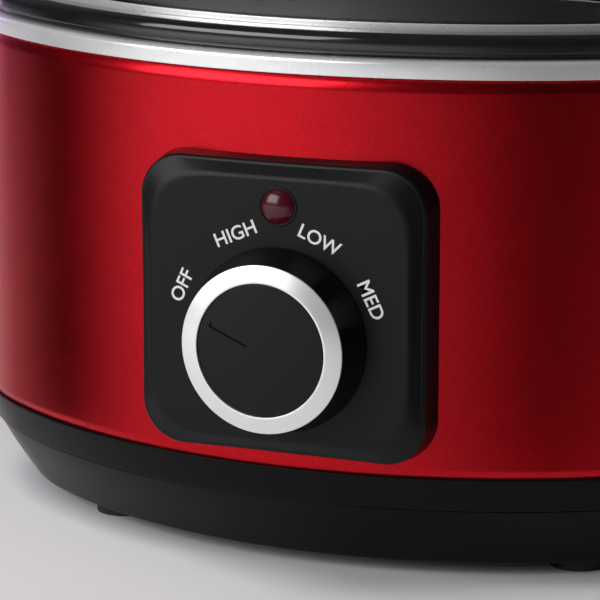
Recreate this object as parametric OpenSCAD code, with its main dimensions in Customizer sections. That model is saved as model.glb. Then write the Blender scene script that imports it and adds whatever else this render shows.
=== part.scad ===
// Oval slow cooker: painted steel housing on a black base, lift-out stoneware pot and glass lid.
// X runs to the right seen from the front, the control panel faces -Y, Z is up, and the feet
// stand on Z = 0 with the middle of the housing over the origin. Millimetres throughout.

/* [Housing] */
// Length of the oval housing, without the handles
body_len = 320; // [300:1:350]
// Depth of the oval housing, without the knob
body_dep = 240; // [224:1:256]
// Height of the top of the rim ring above the table
body_h = 177.5; // [165:0.5:200]
// Thickness of the painted steel wall
wall_t = 1; // [0.8:0.1:1.2]
// Height of the bright face of the rim ring
rim_face_h = 4.2; // [3:0.1:6]

/* [Base] */
// Height of the top of the black base ring
base_h = 39.2; // [37:0.2:44]
// Height of the seam between the base ring and the tray
seam_h = 27.5; // [25.5:0.5:29]
// How far the tray draws in from the seam down to its underside
tray_taper = 14; // [10:0.5:17]
// Wall thickness of the moulded base parts
base_t = 2.5; // [2:0.1:2.8]
// Height of the rubber feet below the tray
foot_h = 5; // [4.8:0.2:7]
// Diameter of each rubber foot
foot_d = 20; // [14:1:24]

/* [Control panel] */
// Width of the control panel
panel_w = 102; // [94:1:112]
// Height of the control panel
panel_h = 100; // [96:1:104]
// Corner radius of the control panel
panel_r = 15; // [9:1:20]
// Height of the middle of the panel above the table
panel_z = 94.3; // [92:0.1:97]
// How far the flat face of the panel stands out from the housing on the centre line
panel_t = 7; // [5.5:0.1:8]
// Width of the sloping border around the raised face
panel_border = 6; // [3:0.5:7]
// Height of the indicator lamp above the table
lamp_z = 129; // [127:0.5:131]
// Diameter of the lamp lens
lamp_d = 11.4; // [8:0.1:13]

/* [Knob] */
// Outer diameter of the bright ring on the knob
knob_d = 56; // [46:0.5:58]
// Height of the knob above the panel face, without the ring's crown
knob_h = 13.4; // [11:0.1:18]
// Height of the knob's axis above the table
knob_z = 84.5; // [83:0.1:86]
// Angle of the pointer at OFF, anticlockwise from +X seen from the front
knob_off = 157.5; // [150:0.5:165]

/* [Pot and lid] */
// Clearance between the well and the pot
pot_gap = 3; // [2:0.5:5]
// Wall thickness of the stoneware pot
pot_t = 6; // [5:0.5:8]
// Thickness of the pot's flange
flange_t = 6.2; // [5:0.2:7]
// Corner radius inside the foot of the pot
pot_corner = 18; // [10:1:24]
// Thickness of the lid glass
glass_t = 4; // [3:0.5:5]
// Radius of the lid's dome
dome_r = 420; // [400:10:520]
// Diameter of the lid knob
lid_knob_d = 44; // [36:1:50]

/* [Handles] */
// Reach of each handle beyond the end of the housing
handle_reach = 32.5; // [29:0.5:36]
// Thickness of the grip
grip_t = 11; // [9:0.5:12]
// Height of the middle of the handles above the table
handle_z = 140; // [128:1:146]

/* [Hidden] */
$fn = 96;

far = 400;                                    // reach of the cutting wedges
gap = 0.3;                                    // clearance between pieces that lift apart

// The oval is four arcs on a 3-4-5 triangle, so the arcs meet on one line at every offset.
step = (body_len - body_dep) / 4;
end_x = 3 * step;                             // centres of the end arcs, on X
side_y = 4 * step;                            // centres of the long arcs, on Y
end_r = body_len / 2 - end_x;
side_r = end_r + 5 * step;
half_len = body_len / 2;
half_dep = body_dep / 2;

// Offsets are measured outwards from the painted face, so inside sizes are negative.
seam_off = -2.2;
tray_top_off = -2.8;
tray_foot_off = tray_top_off - tray_taper;
shell_bottom = base_h - 2.7;
shell_top = body_h - rim_face_h - 0.7;
rim_bottom = body_h - rim_face_h - 1.7;
well_off = -25;                               // inner face of the heating well
well_t = 1;
well_top = body_h - 2;
well_floor = 48;
pot_off = well_off - pot_gap;                 // outer face of the pot
pot_in = pot_off - pot_t;                     // inner face of the pot
flange_z = body_h + 1.8;
flange_top = flange_z + flange_t;
ledge_z = flange_top - 3.2;                   // ledge the lid rests on
lid_off = -13;
foot_x = half_len - 75;
foot_y = half_dep - 55;
face_y = -(half_dep + panel_t);               // front of the panel on the centre line
knob_back = face_y - 0.6;
pocket_d = panel_t - 5;                       // how far the hollow reaches in front of the wall
gland_z = 18;
cover_off = -50;
lip_off = cover_off - 5;
bar_z = 12;                                   // underside of the cross bar
shield_off = -20.6;
steel = [0.72, 0.73, 0.75];
bright = [0.88, 0.88, 0.9];
black = [0.06, 0.06, 0.065];
red = [0.62, 0.03, 0.06];
rubber = [0.12, 0.12, 0.12];
brass = [0.78, 0.62, 0.3];
cream = [0.9, 0.87, 0.78];

// ---- shared shapes ----

// Flat oval, its edge at the given offset from the painted face
module oval(off) {
    intersection() {
        for_both_sides(off);
        square([1.2 * (side_r + off), 2 * body_dep], center = true);
    }
    for (s = [-1, 1]) translate([s * end_x, 0]) circle(end_r + off);
}

// Lens where the two long arcs overlap
module for_both_sides(off) {
    intersection() {
        translate([0, side_y]) circle(side_r + off);
        translate([0, -side_y]) circle(side_r + off);
    }
}

// Oval plate between two heights
module plate(off, z0, z1) translate([0, 0, z0]) linear_extrude(z1 - z0) oval(off);

// Sweeps a profile drawn as (offset, height) right round the oval
module sweep() {
    for (s = [-1, 1]) {
        end_arc(s) children();
        side_arc(s) children();
    }
}

module end_arc(s) intersection() {
    translate([s * end_x, 0, 0]) rotate_extrude() translate([end_r, 0]) children();
    linear_extrude(far) polygon([
        [s * end_x, 0], [s * (end_x + 0.75 * far), far], [s * (end_x + 0.75 * far), -far]]);
}

// s = -1 is the front
module side_arc(s) intersection() {
    translate([0, -s * side_y, 0]) rotate_extrude() translate([side_r, 0]) children();
    linear_extrude(far) polygon([
        [0, -s * side_y], [0.75 * far, s * (far - side_y)], [-0.75 * far, s * (far - side_y)]]);
}

// Rectangle with round corners, centred
module round_rect(w, h, r) {
    square([w - 2 * r, h], center = true);
    square([w, h - 2 * r], center = true);
    for (x = [-1, 1], y = [-1, 1]) translate([x * (w / 2 - r), y * (h / 2 - r)]) circle(r);
}

// Turns a shape drawn in X and Y to stand in X and Z, running from y0 towards the front
module facing_front(y0) translate([0, y0, 0]) rotate([90, 0, 0]) children();

// Rod along Z, Y or X
module rod_z(x, y, z0, z1, d) translate([x, y, z0]) cylinder(d = d, h = z1 - z0);
module rod_y(x, z, y0, y1, d) translate([x, y0, z]) rotate([-90, 0, 0]) cylinder(d = d, h = y1 - y0);
module rod_x(y, z, x0, x1, d) translate([x0, y, z]) rotate([0, 90, 0]) cylinder(d = d, h = x1 - x0);

// Screw pointing up, its head underneath with a cross recess
module screw_up(x, y, z, head_d, head_h, d, len) translate([x, y, z]) difference() {
    union() {
        cylinder(d = head_d, h = head_h);
        cylinder(d = d, h = head_h + len);
    }
    for (a = [0, 90]) rotate([0, 0, a]) translate([0, 0, -0.1])
        linear_extrude(head_h * 0.6) square([head_d * 0.55, head_d * 0.14], center = true);
}

// Insulated wire along straight runs parallel to the axes, with a small knuckle at each bend
module wire(pts, d) {
    for (i = [0 : len(pts) - 2]) {
        v = pts[i + 1] - pts[i];
        translate(pts[i]) rotate([0, acos(v[2] / norm(v)), atan2(v[1], v[0])])
            cylinder(d = d, h = norm(v));
        if (i > 0) translate(pts[i]) sphere(d = 1.2 * d);
    }
}

// ---- base ----

cover_screw_at = [for (x = [-1, 1], y = [-1, 1]) [x * (end_x + 0.6 * (end_r + cover_off - 2.5)),
    y * 0.8 * (end_r + cover_off - 2.5)]];

module base_tray() color(black) difference() {
    union() {
        sweep() polygon([
            [tray_top_off, seam_h], [tray_foot_off, foot_h], [tray_foot_off - base_t - 3, foot_h],
            [tray_foot_off - base_t - 3, foot_h + base_t], [tray_foot_off - base_t, foot_h + base_t],
            [-5.4 - base_t + 0.6, seam_h - 3], [-5.4 - base_t + 0.6, seam_h + 3], [-5.4, seam_h + 3],
            [-5.4, seam_h]]);
        plate(tray_foot_off - base_t, foot_h, foot_h + base_t);
        rod_y(0, gland_z, half_dep - 22, half_dep - 4, 18);
        for (p = cover_screw_at) rod_z(p[0], p[1], foot_h, foot_h + 11, 8);
        for (x = [-1, 1]) rod_z(x * 9.5, half_dep - 28, foot_h, gland_z + 2.6, 6);
        for (x = [-1, 1]) rod_z(45 + x * 16, half_dep - 40, foot_h, foot_h + 6, 6);
        for (x = [-1, 1]) rod_z(x * 30, -(half_dep - 30), foot_h, foot_h + 14, 8);
        for (y = [-1, 1]) rod_z(0, y * (half_dep - 44), foot_h, foot_h + 5.5, 9);
    }
    plate(lip_off, foot_h - 1, foot_h + base_t + 1);
    rod_y(0, gland_z, half_dep - 30, half_dep, 12);
    for (x = [-1, 1], y = [-1, 1]) rod_z(x * foot_x, y * foot_y, foot_h - 1, foot_h + base_t + 1, 6.2);
    for (p = cover_screw_at) rod_z(p[0], p[1], foot_h - 1, foot_h + 9, 3.2);
    for (x = [-1, 1]) rod_z(x * 9.5, half_dep - 28, foot_h + 4, gland_z + 3, 2.7);
    for (x = [-1, 1]) rod_z(x * 30, -(half_dep - 30), foot_h + 4, foot_h + 15, 3.2);
    for (y = [-1, 1]) rod_z(0, y * (half_dep - 44), foot_h - 1, foot_h + 6, 3.7);
}

// Upper band of the base, with a lip over the bottom edge of the painted wall
module base_ring() color(black) sweep() polygon([
    [seam_off, seam_h + 0.1], [0.7, base_h - 0.6], [0.7, base_h], [0.1, base_h],
    [0.1, shell_bottom - 0.1], [-5, shell_bottom - 0.1], [-5, seam_h + 0.1]]);

module bottom_cover() color(black) difference() {
    plate(cover_off, foot_h - 1.6, foot_h - 0.05);
    for (p = cover_screw_at) rod_z(p[0], p[1], 0, foot_h + 1, 3.6);
    for (x = [-4 : 4], y = [-1, 1]) translate([x * 14, y * 26, 0])
        linear_extrude(foot_h + 1) round_rect(5, 26, 2.4);
}

module cover_screws() color(steel)
    for (p = cover_screw_at) screw_up(p[0], p[1], foot_h - 3.7, 6.4, 2, 3, 9);

module foot(x, y) color(rubber) {
    rod_z(x, y, 0, foot_h - 0.05, foot_d);
    rod_z(x, y, 0, foot_h + base_t + 0.1, 6);
    rod_z(x, y, foot_h + base_t + 0.05, foot_h + base_t + 2, 8.5);
}
module front_left_foot() foot(-foot_x, -foot_y);
module front_right_foot() foot(foot_x, -foot_y);
module rear_left_foot() foot(-foot_x, foot_y);
module rear_right_foot() foot(foot_x, foot_y);

// ---- housing ----

opening_w = 74;
opening_h = 86;
handle_screw_y = 41;

module outer_shell() color(red) difference() {
    sweep() translate([-wall_t, shell_bottom]) square([wall_t, shell_top - shell_bottom]);
    facing_front(-half_dep + 30) linear_extrude(60)
        translate([0, panel_z]) round_rect(opening_w, opening_h, 8);
    for (y = [-1, 1]) rod_x(y * handle_screw_y, handle_z, -half_len - 20, half_len + 20, 4.4);
}

// Polished ring that caps the wall and holds the edge of the well
module rim_ring() color(bright) sweep() difference() {
    union() {
        translate([-3.2, rim_bottom]) square([4.1, body_h - 1.7 - rim_bottom]);
        translate([-0.8, body_h - 1.7]) circle(1.7);
        translate([-9, body_h - 1.7]) square([8.2, 1.7]);
    }
    translate([-wall_t - 0.15, rim_bottom - 1]) square([wall_t + 0.3, shell_top - rim_bottom + 1.1]);
}

module heating_well() color(steel) difference() {
    union() {
        sweep() {
            translate([well_off, well_floor + 18]) square([well_t, well_top - well_floor - 18]);
            translate([well_off, well_top - well_t]) square([-3.4 - well_off, well_t]);
            difference() {
                intersection() {
                    translate([well_off + well_t - 19, well_floor + 18 + well_t - 1]) circle(19);
                    translate([well_off + well_t - 19, well_floor - 1]) square([19, 19]);
                }
                translate([well_off + well_t - 19, well_floor + 18]) circle(18);
            }
        }
        plate(well_off + well_t - 19, well_floor - 1, well_floor);
        rod_z(0, 0, bar_z + 6, well_floor - 0.5, 10);
        rod_z(0, 0, 33, 35.9, 14);
    }
    rod_z(0, 0, bar_z + 5, well_floor - 4, 5.1);
}

heater_off = well_off + well_t + 0.2;

module band_heater() color(cream) sweep()
    translate([heater_off, 72]) square([1, 68]);

module heater_strap() color(steel) difference() {
    union() {
        sweep() translate([heater_off + 1.1, 118]) square([0.7, 12]);
        for (x = [-1, 1]) translate([x * 6 - 0.6, half_dep + heater_off + 1.2, 118]) cube([1.2, 11, 12]);
    }
    rod_x(half_dep + heater_off + 8, 124, -8, 8, 4.2);
}

module strap_bolt() color(steel) {
    rod_x(half_dep + heater_off + 8, 124, -9.5, 9.5, 3.8);
    rod_x(half_dep + heater_off + 8, 124, -9.6, -6.8, 7);
    translate([6.8, half_dep + heater_off + 8, 124]) rotate([0, 90, 0]) cylinder(d = 8, h = 3, $fn = 6);
}

module reflector_plate() color(steel) difference() {
    union() {
        plate(-34, 36, 36.8);
        sweep() translate([-34.8, 36]) square([0.8, 7]);
    }
    rod_z(0, 0, 30, 50, 10.6);
    rod_z(40, 0, 30, 50, 20);
}

module cross_bar() color(steel) difference() {
    union() {
        translate([-10, -(half_dep - 50), bar_z]) cube([20, 2 * half_dep - 100, 2]);
        for (s = [-1, 1]) {
            translate([-10, s * (half_dep - 50) - (s > 0 ? 2 : 0), foot_h + 5.6])
                cube([20, 2, bar_z + 2 - foot_h - 5.6]);
            translate([-10, s > 0 ? half_dep - 52 : -(half_dep - 38), foot_h + 5.6]) cube([20, 14, 1.4]);
        }
    }
    rod_z(0, 0, 0, 30, 5.4);
    for (s = [-1, 1]) rod_z(0, s * (half_dep - 44), 0, 30, 4);
}

module cross_bar_screws() color(steel) for (s = [-1, 1]) {
    rod_z(0, s * (half_dep - 44), foot_h + 0.2, foot_h + 7.1, 3.6);
    rod_z(0, s * (half_dep - 44), foot_h + 7.05, foot_h + 9.2, 7);
}

module tie_bolt() color(steel) {
    translate([0, 0, bar_z - 5]) cylinder(d = 10, h = 3.5, $fn = 6);
    rod_z(0, 0, bar_z - 2, well_floor - 8, 5);
}

module spring_washer() color(steel) difference() {
    translate([0, 0, bar_z - 1.4]) cylinder(d = 13, h = 1.3);
    rod_z(0, 0, 0, 30, 5.4);
}

// ---- safety and wiring ----

module thermal_cutout() color(black) {
    rod_z(40, 0, 39.6, well_floor - 1.1, 17);
    for (x = [-1, 1]) translate([40 + x * 3.6 - 2.5, -0.4, 30]) cube([5, 0.8, 9.7]);
}

module cutout_clip() color(steel) difference() {
    union() {
        translate([24, -10, 38.4]) cube([32, 20, 1]);
        for (x = [24, 54.9]) translate([x, -10, 38.4]) cube([1.1, 20, well_floor - 1.05 - 38.4]);
    }
    rod_z(40, 0, 30, 45, 14.5);
}

// Curved steel guard between the hot well and the switch
module heat_shield() color(steel) difference() {
    union() {
        intersection() {
            side_arc(-1) translate([shield_off, foot_h + 14.1]) square([0.8, 100]);
            translate([-40, -half_dep, 0]) cube([80, 60, far]);
        }
        intersection() {
            side_arc(-1) translate([shield_off - 14, foot_h + 14.1]) square([14.4, 1]);
            for (x = [-1, 1]) translate([x * 30 - 7, -half_dep, 0]) cube([14, 60, far]);
        }
    }
    for (x = [-1, 1]) rod_z(x * 30, -(half_dep - 30), 0, 60, 3.6);
}

module shield_screws() color(steel) for (x = [-1, 1]) {
    rod_z(x * 30, -(half_dep - 30), foot_h + 8, foot_h + 15.2, 3.1);
    rod_z(x * 30, -(half_dep - 30), foot_h + 15.15, foot_h + 17, 6);
}

block_x = 45;
block_y = half_dep - 40;
block_z = foot_h + 6.1;

module terminal_block() color(cream) difference() {
    translate([block_x - 20, block_y - 7, block_z]) cube([40, 14, 13]);
    for (x = [-8, 0, 8]) {
        rod_y(block_x + x, block_z + 4, block_y - 8, block_y + 8, 3.6);
        rod_z(block_x + x, block_y, block_z + 4, block_z + 14, 3.8);
    }
    for (x = [-16, 16]) {
        rod_z(block_x + x, block_y, block_z - 1, block_z + 14, 3.4);
        rod_z(block_x + x, block_y, block_z + 5, block_z + 14, 6.4);
    }
}

module terminal_screws() color(brass) {
    for (x = [-8, 0, 8]) rod_z(block_x + x, block_y, block_z + 6.2, block_z + 12, 3.6);
    for (x = [-16, 16]) rod_z(block_x + x, block_y, block_z + 5.1, block_z + 7.2, 6);
}

cord_bore = 7.2;

module cord_gland() color(rubber) difference() {
    union() {
        rod_y(0, gland_z, half_dep - 24.5, half_dep - 3.5, 11.8);
        rod_y(0, gland_z, half_dep - 24.5, half_dep - 22.1, 14.5);
        rod_y(0, gland_z, half_dep - 3.95, half_dep - 1, 17);
    }
    rod_y(0, gland_z, half_dep - 40, half_dep + 10, cord_bore);
}

clamp_bite = 0.3;                             // how far the clamp presses into the cord
module cord_clamp() color(black) difference() {
    translate([-14, half_dep - 32, gland_z + 2.7]) cube([28, 7.2, 4]);
    rod_y(0, gland_z, half_dep - 40, half_dep, cord_bore - 2 * clamp_bite);
    for (x = [-1, 1]) rod_z(x * 9.5, half_dep - 28, 0, 60, 3.2);
}

module clamp_screws() color(steel) for (x = [-1, 1]) {
    rod_z(x * 9.5, half_dep - 28, gland_z - 6, gland_z + 6.8, 2.6);
    rod_z(x * 9.5, half_dep - 28, gland_z + 6.75, gland_z + 8.6, 5.4);
}

wire_d = 2.6;
switch_y = -(half_dep - 12.2);                // plane of the switch terminals
lead_y = -(half_dep - 15);                    // plane of the leads behind the panel
heater_y = side_y - sqrt(pow(side_r + heater_off + 2.8, 2) - 62 * 62);
wire_z = block_z + 4;
block_face = block_y - 7.1;

module live_lead() color([0.4, 0.22, 0.12]) wire([
    [block_x - 8, block_face, wire_z], [block_x - 8, block_y - 18, wire_z],
    [block_x - 8, block_y - 18, 24], [block_x - 8, 0, 24], [block_x - 8, 0, 28.6]], wire_d);

module neutral_lead() color([0.1, 0.2, 0.55]) wire([
    [block_x, block_face, wire_z], [block_x, block_y - 16, wire_z], [block_x, block_y - 16, 29],
    [62, block_y - 16, 29], [62, heater_y, 29], [62, heater_y, 78]], wire_d);

module earth_lead() color([0.35, 0.5, 0.12]) wire([
    [block_x + 8, block_face, wire_z], [block_x + 8, block_y - 12, wire_z],
    [block_x + 8, block_y - 12, 20], [8, block_y - 12, 20], [8, block_y - 16, 20],
    [8, block_y - 16, bar_z + 3.4]], wire_d);

module heater_leads() color([0.85, 0.83, 0.8]) {
    wire([[43.6, 0, 28.6], [43.6, 0, 24], [43.6, -(half_dep - 60), 24], [43.6, -(half_dep - 60), 32],
        [43.6, lead_y, 32], [9, lead_y, 32], [9, lead_y, knob_z - 29], [9, switch_y, knob_z - 29],
        [9, switch_y, knob_z - 25.4]], wire_d);
    wire([[-3, switch_y, knob_z - 25.4], [-3, switch_y, knob_z - 31], [-3, lead_y, knob_z - 31],
        [-62, lead_y, knob_z - 31], [-62, heater_y, knob_z - 31], [-62, heater_y, 78]], wire_d);
}

module lamp_leads() color([0.8, 0.8, 0.82]) for (x = [-1, 1])
    wire([[x * 1.8, lead_y + 1, lamp_z], [x * 11, lead_y + 1, lamp_z],
        [x * 11, lead_y + 1, knob_z + 14.9]], 1.6);

// ---- control panel ----

// Block with a flat front that beds down on the curved wall
module panel_slab(w, h, r, depth) difference() {
    facing_front(-half_dep + 20) linear_extrude(20 + depth) translate([0, panel_z]) round_rect(w, h, r);
    plate(0.15, 0, far);
}

module panel_corners() for (x = [-1, 1], z = [-1, 1])
    translate([x * (opening_w / 2 - 9), 0, panel_z + z * (opening_h / 2 - 9)]) children();

module control_panel() color(black) difference() {
    union() {
        difference() {
            union() {
                panel_slab(panel_w, panel_h, panel_r, panel_t - 2);
                panel_slab(panel_w - 2 * panel_border, panel_h - 2 * panel_border, panel_r, panel_t);
            }
            facing_front(-half_dep + 20) linear_extrude(20 + pocket_d)
                translate([0, panel_z]) round_rect(panel_w - 7, panel_h - 7, panel_r - 3.5);
        }
        facing_front(-half_dep + 8) linear_extrude(8.5 + pocket_d) difference() {
            translate([0, panel_z]) round_rect(opening_w - 0.6, opening_h - 0.6, 7.7);
            translate([0, panel_z]) round_rect(opening_w - 5, opening_h - 5, 5.5);
        }
        panel_corners() rod_y(0, 0, -half_dep - pocket_d - 0.5, -half_dep + 8, 7);
        rod_y(0, knob_z, -half_dep - pocket_d - 0.5, -half_dep + 5.9, 22);
        intersection() {
            rod_y(0, lamp_z, -half_dep - pocket_d - 0.5, -half_dep + 5, lamp_d + 5);
            facing_front(-half_dep + 6) linear_extrude(8 + pocket_d)
                translate([0, panel_z]) round_rect(opening_w, opening_h - 0.1, 7.7);
        }
    }
    rod_y(0, knob_z, face_y - 1, -half_dep + 9, 10);
    rod_y(0, lamp_z, face_y - 1, -half_dep + 9, lamp_d + 1);
    translate([-lamp_d / 2 - 2.5, -half_dep + 5.02, lamp_z]) cube([lamp_d + 5, 4, 20]);
    panel_corners() rod_y(0, 0, -half_dep + 1, -half_dep + 9, 2.8);
}

// Two upright steel bars that bridge the window and draw the panel back against the wall
strap_w = 10;
strap_x = opening_w / 2 - 9;
strap_foot_y = side_y - sqrt(pow(side_r - wall_t - 0.25, 2) - pow(strap_x + strap_w / 2, 2));
module panel_strap() color(steel) for (x = [-1, 1]) difference() {
    union() {
        translate([x * strap_x - strap_w / 2, -half_dep + 8.05, panel_z - opening_h / 2 - 5])
            cube([strap_w, 1.2, opening_h + 10]);
        for (z = [-1, 1])
            translate([x * strap_x - strap_w / 2, strap_foot_y, panel_z + z * (opening_h / 2 + 4.4) - 0.6])
                cube([strap_w, -half_dep + 8.65 - strap_foot_y, 1.2]);
    }
    panel_corners() rod_y(0, 0, -half_dep + 1, -half_dep + 12, 3.4);
}

module panel_screws() color(steel) panel_corners() {
    rod_y(0, 0, -half_dep + 2, -half_dep + 9.35, 2.7);
    rod_y(0, 0, -half_dep + 9.3, -half_dep + 11, 5.4);
}

module lamp_lens() color([0.5, 0.02, 0.03, 0.8])
    facing_front(-half_dep + 6.2) translate([0, lamp_z, 0]) rotate_extrude() {
        square([lamp_d / 2 + 1.5, 1.15]);
        square([lamp_d / 2, panel_t + 6]);
        intersection() {
            translate([0, panel_t + 2]) circle(norm([lamp_d / 2 - 0.2, 4]));
            translate([0, panel_t]) square([lamp_d / 2, 12]);
        }
    }

module lamp_collar() color(black) difference() {
    rod_y(0, lamp_z, -half_dep + 6.25, -half_dep + 12, 15);
    rod_y(0, lamp_z, -half_dep + 6, -half_dep + 13, 7);
}

module lamp_bulb() color([0.95, 0.7, 0.5, 0.6]) {
    rod_y(0, lamp_z, -half_dep + 7, -half_dep + 14.5, 6);
    for (x = [-1, 1]) rod_y(x * 1.8, lamp_z, -half_dep + 14.4, -half_dep + 15.1, 0.8);
}

module switch_body() color(cream) difference() {
    union() {
        translate([-15, -half_dep + 6, knob_z - 14]) cube([30, 12.8, 28]);
        rod_y(0, knob_z, knob_back - 2, -half_dep + 6.5, 9.6);
    }
    rod_y(0, knob_z, knob_back - 3, -half_dep + 16, 6.1);
}

module switch_terminals() color(brass) for (x = [-9, -3, 3, 9])
    translate([x - 2.2, switch_y - 0.4, knob_z - 24]) cube([4.4, 0.8, 9.95]);

module switch_nut() color(steel) difference() {
    translate([0, face_y - 0.05, knob_z]) rotate([90, 0, 0]) cylinder(d = 15, h = 2, $fn = 6);
    rod_y(0, knob_z, face_y - 3, face_y + 1, 9.7);
}

// ---- knob ----

module on_knob() facing_front(knob_back) translate([0, knob_z, 0]) children();

knob_r = knob_d / 2;
knob_lip_r = knob_r - 5.8;

module switch_shaft() color(steel) difference() {
    rod_y(0, knob_z, knob_back - knob_h + 1.4, -half_dep + 15.6, 6);
    translate([2.1, knob_back - knob_h + 1, knob_z - 4]) cube([3, knob_h - 4, 8]);
}

module knob_body() color(black) on_knob() rotate_extrude() polygon([
    [0, knob_h - 1.2], [3.1, knob_h - 1.2], [3.1, 2.6], [6.5, 2.6], [6.5, knob_h - 2.4],
    [knob_r - 1.6, knob_h - 2.4], [knob_r + 0.6, 0], [knob_r + 3, 0], [knob_r, knob_h], [0, knob_h]]);

module knob_ring() color(bright) on_knob() rotate_extrude() polygon([
    [knob_lip_r, knob_h + 0.05], [knob_r, knob_h + 0.05], [knob_r, knob_h + 0.4],
    [knob_lip_r + 0.7, knob_h + 1.9], [knob_lip_r, knob_h + 1.9]]);

module knob_cap() color(black) on_knob() difference() {
    translate([0, 0, knob_h + 0.05]) cylinder(r = knob_lip_r - 0.1, h = 1.3);
    rotate([0, 0, knob_off]) translate([3.5, -0.5, knob_h + 0.9]) cube([15.5, 1, 1]);
}

// ---- handles ----

bow_r = 42;
bow_x = half_len + handle_reach - bow_r - grip_t / 2;

module handle(s) difference() {
    union() {
        intersection() {
            end_arc(s) translate([0.15, 0]) square([3.6, far]);
            rotate([90, 0, 90]) translate([0, handle_z, s > 0 ? 0 : -far]) linear_extrude(far)
                round_rect(110, 32, 10);
        }
        difference() {
            translate([s * bow_x, 0, handle_z]) rotate_extrude() translate([bow_r, 0])
                round_rect(grip_t, 22, 5);
            plate(0.15, 0, far);
        }
    }
    for (y = [-1, 1]) rod_x(y * handle_screw_y, handle_z,
        s > 0 ? 0 : -(half_len - 1), s > 0 ? half_len - 1 : 0, 3);
}
module left_handle() color(black) handle(-1);
module right_handle() color(black) handle(1);

// The backing plates lie just inside the curve of the wall, nearest it at their ends.
handle_plate_x = end_x + sqrt(pow(end_r - wall_t - 0.55, 2) - pow(handle_screw_y + 6, 2)) - 1;

module handle_plates() color(steel) for (s = [-1, 1]) difference() {
    translate([s * handle_plate_x - 1, -handle_screw_y - 6, handle_z - 10])
        cube([2, 2 * handle_screw_y + 12, 20]);
    for (y = [-1, 1]) rod_x(y * handle_screw_y, handle_z, -half_len, half_len, 4);
}

module handle_screws() color(steel) for (s = [-1, 1], y = [-1, 1]) {
    mirror([s > 0 ? 0 : 1, 0, 0]) {
        rod_x(y * handle_screw_y, handle_z, handle_plate_x - 1.1, half_len - 2, 2.9);
        rod_x(y * handle_screw_y, handle_z, handle_plate_x - 3.5, handle_plate_x - 1.05, 7);
    }
}

// ---- pot ----

pot_base = well_floor + 4;
foot_r = pot_corner + pot_t;
seat_off = lid_off + 1.5;                     // edge of the recess the lid drops into

module cooking_pot() color([0.05, 0.05, 0.055]) difference() {
    union() {
        plate(pot_off - foot_r, pot_base, pot_base + pot_t);
        sweep() {
            translate([pot_in, pot_base + foot_r]) square([pot_t, flange_top - pot_base - foot_r - 1]);
            difference() {
                intersection() {
                    translate([pot_off - foot_r, pot_base + foot_r]) circle(foot_r);
                    translate([pot_off - foot_r, pot_base]) square(foot_r);
                }
                translate([pot_off - foot_r, pot_base + foot_r]) circle(pot_corner);
            }
            translate([pot_in, flange_z]) square([-4.5 - pot_in, flange_t]);
            translate([-4.5, flange_z + flange_t / 2]) circle(flange_t / 2);
            translate([-8.6, body_h + gap]) square([4.6, flange_z - body_h]);
        }
        intersection() {
            for (s = [-1, 1]) translate([s * (half_len - 4), 0, flange_z + 0.4])
                linear_extrude(flange_t - 0.8) round_rect(44, 70, 14);
            difference() {
                plate(60, 0, far);
                plate(pot_in + 2, 0, far);
            }
        }
    }
    plate(seat_off, ledge_z, far);
}

// ---- lid ----

rim_z = ledge_z + gap;
glass_z = rim_z + 0.8;
dome_z = glass_z + glass_t + 2 - sqrt(dome_r * dome_r - pow(half_len + lid_off, 2));
crown_z = dome_z + dome_r;
vent_tilt = asin(70 / dome_r);

module on_dome(tilt) translate([0, 0, dome_z]) rotate([0, tilt, 0]) children();

module lid_glass() color([0.8, 0.88, 0.86, 0.35]) difference() {
    intersection() {
        translate([0, 0, dome_z]) sphere(dome_r);
        plate(lid_off, glass_z, crown_z + 5);
    }
    intersection() {
        translate([0, 0, dome_z]) sphere(dome_r - glass_t);
        plate(lid_off - glass_t, glass_z - 1, crown_z + 5);
    }
    rod_z(0, 0, crown_z - 10, crown_z + 1, 6.4);
    on_dome(vent_tilt) rod_z(0, 0, dome_r - 10, dome_r + 2, 9);
}

// Folded steel band round the edge of the glass
module lid_rim() color(bright) sweep() {
    translate([lid_off - glass_t + 0.5, rim_z]) square([glass_t + 0.3, 0.75]);
    translate([lid_off + 0.05, rim_z]) square([0.75, 5]);
}

module lid_knob_base() color(bright) difference() {
    translate([0, 0, crown_z + 0.05]) rotate_extrude()
        polygon([[0, 0], [15, 0], [15, 1.2], [10, 4], [0, 4]]);
    rod_z(0, 0, crown_z - 10, crown_z + 10, 5.4);
}

module lid_knob() color(black) difference() {
    translate([0, 0, crown_z + 4.1]) rotate_extrude() {
        difference() {
            polygon([[0, 0], [9.5, 0], [9.5, 7], [lid_knob_d / 2 - 3, 13], [lid_knob_d / 2 - 3, 19], [0, 22]]);
            translate([lid_knob_d / 2 - 1, 3.4]) circle(8);
        }
        translate([lid_knob_d / 2 - 3.4, 16]) circle(3.4);
    }
    rod_z(0, 0, crown_z, crown_z + 18, 5.1);
}

module lid_seal() color(rubber) difference() {
    rod_z(0, 0, crown_z - glass_t - 1.6, crown_z - glass_t - 0.25, 16);
    rod_z(0, 0, crown_z - 20, crown_z, 5.4);
}

module lid_screw() color(steel) {
    rod_z(0, 0, crown_z - glass_t - 4, crown_z - glass_t - 1.65, 11);
    rod_z(0, 0, crown_z - glass_t - 2, crown_z + 17, 5);
}

module steam_grommet() color(steel) on_dome(vent_tilt) difference() {
    union() {
        rod_z(0, 0, dome_r - glass_t - 1, dome_r + 1, 8.7);
        rod_z(0, 0, dome_r + 0.1, dome_r + 1.1, 13);
        rod_z(0, 0, dome_r - glass_t - 1.2, dome_r - glass_t - 0.1, 11.5);
    }
    rod_z(0, 0, dome_r - glass_t - 5, dome_r + 5, 4.6);
}

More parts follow.
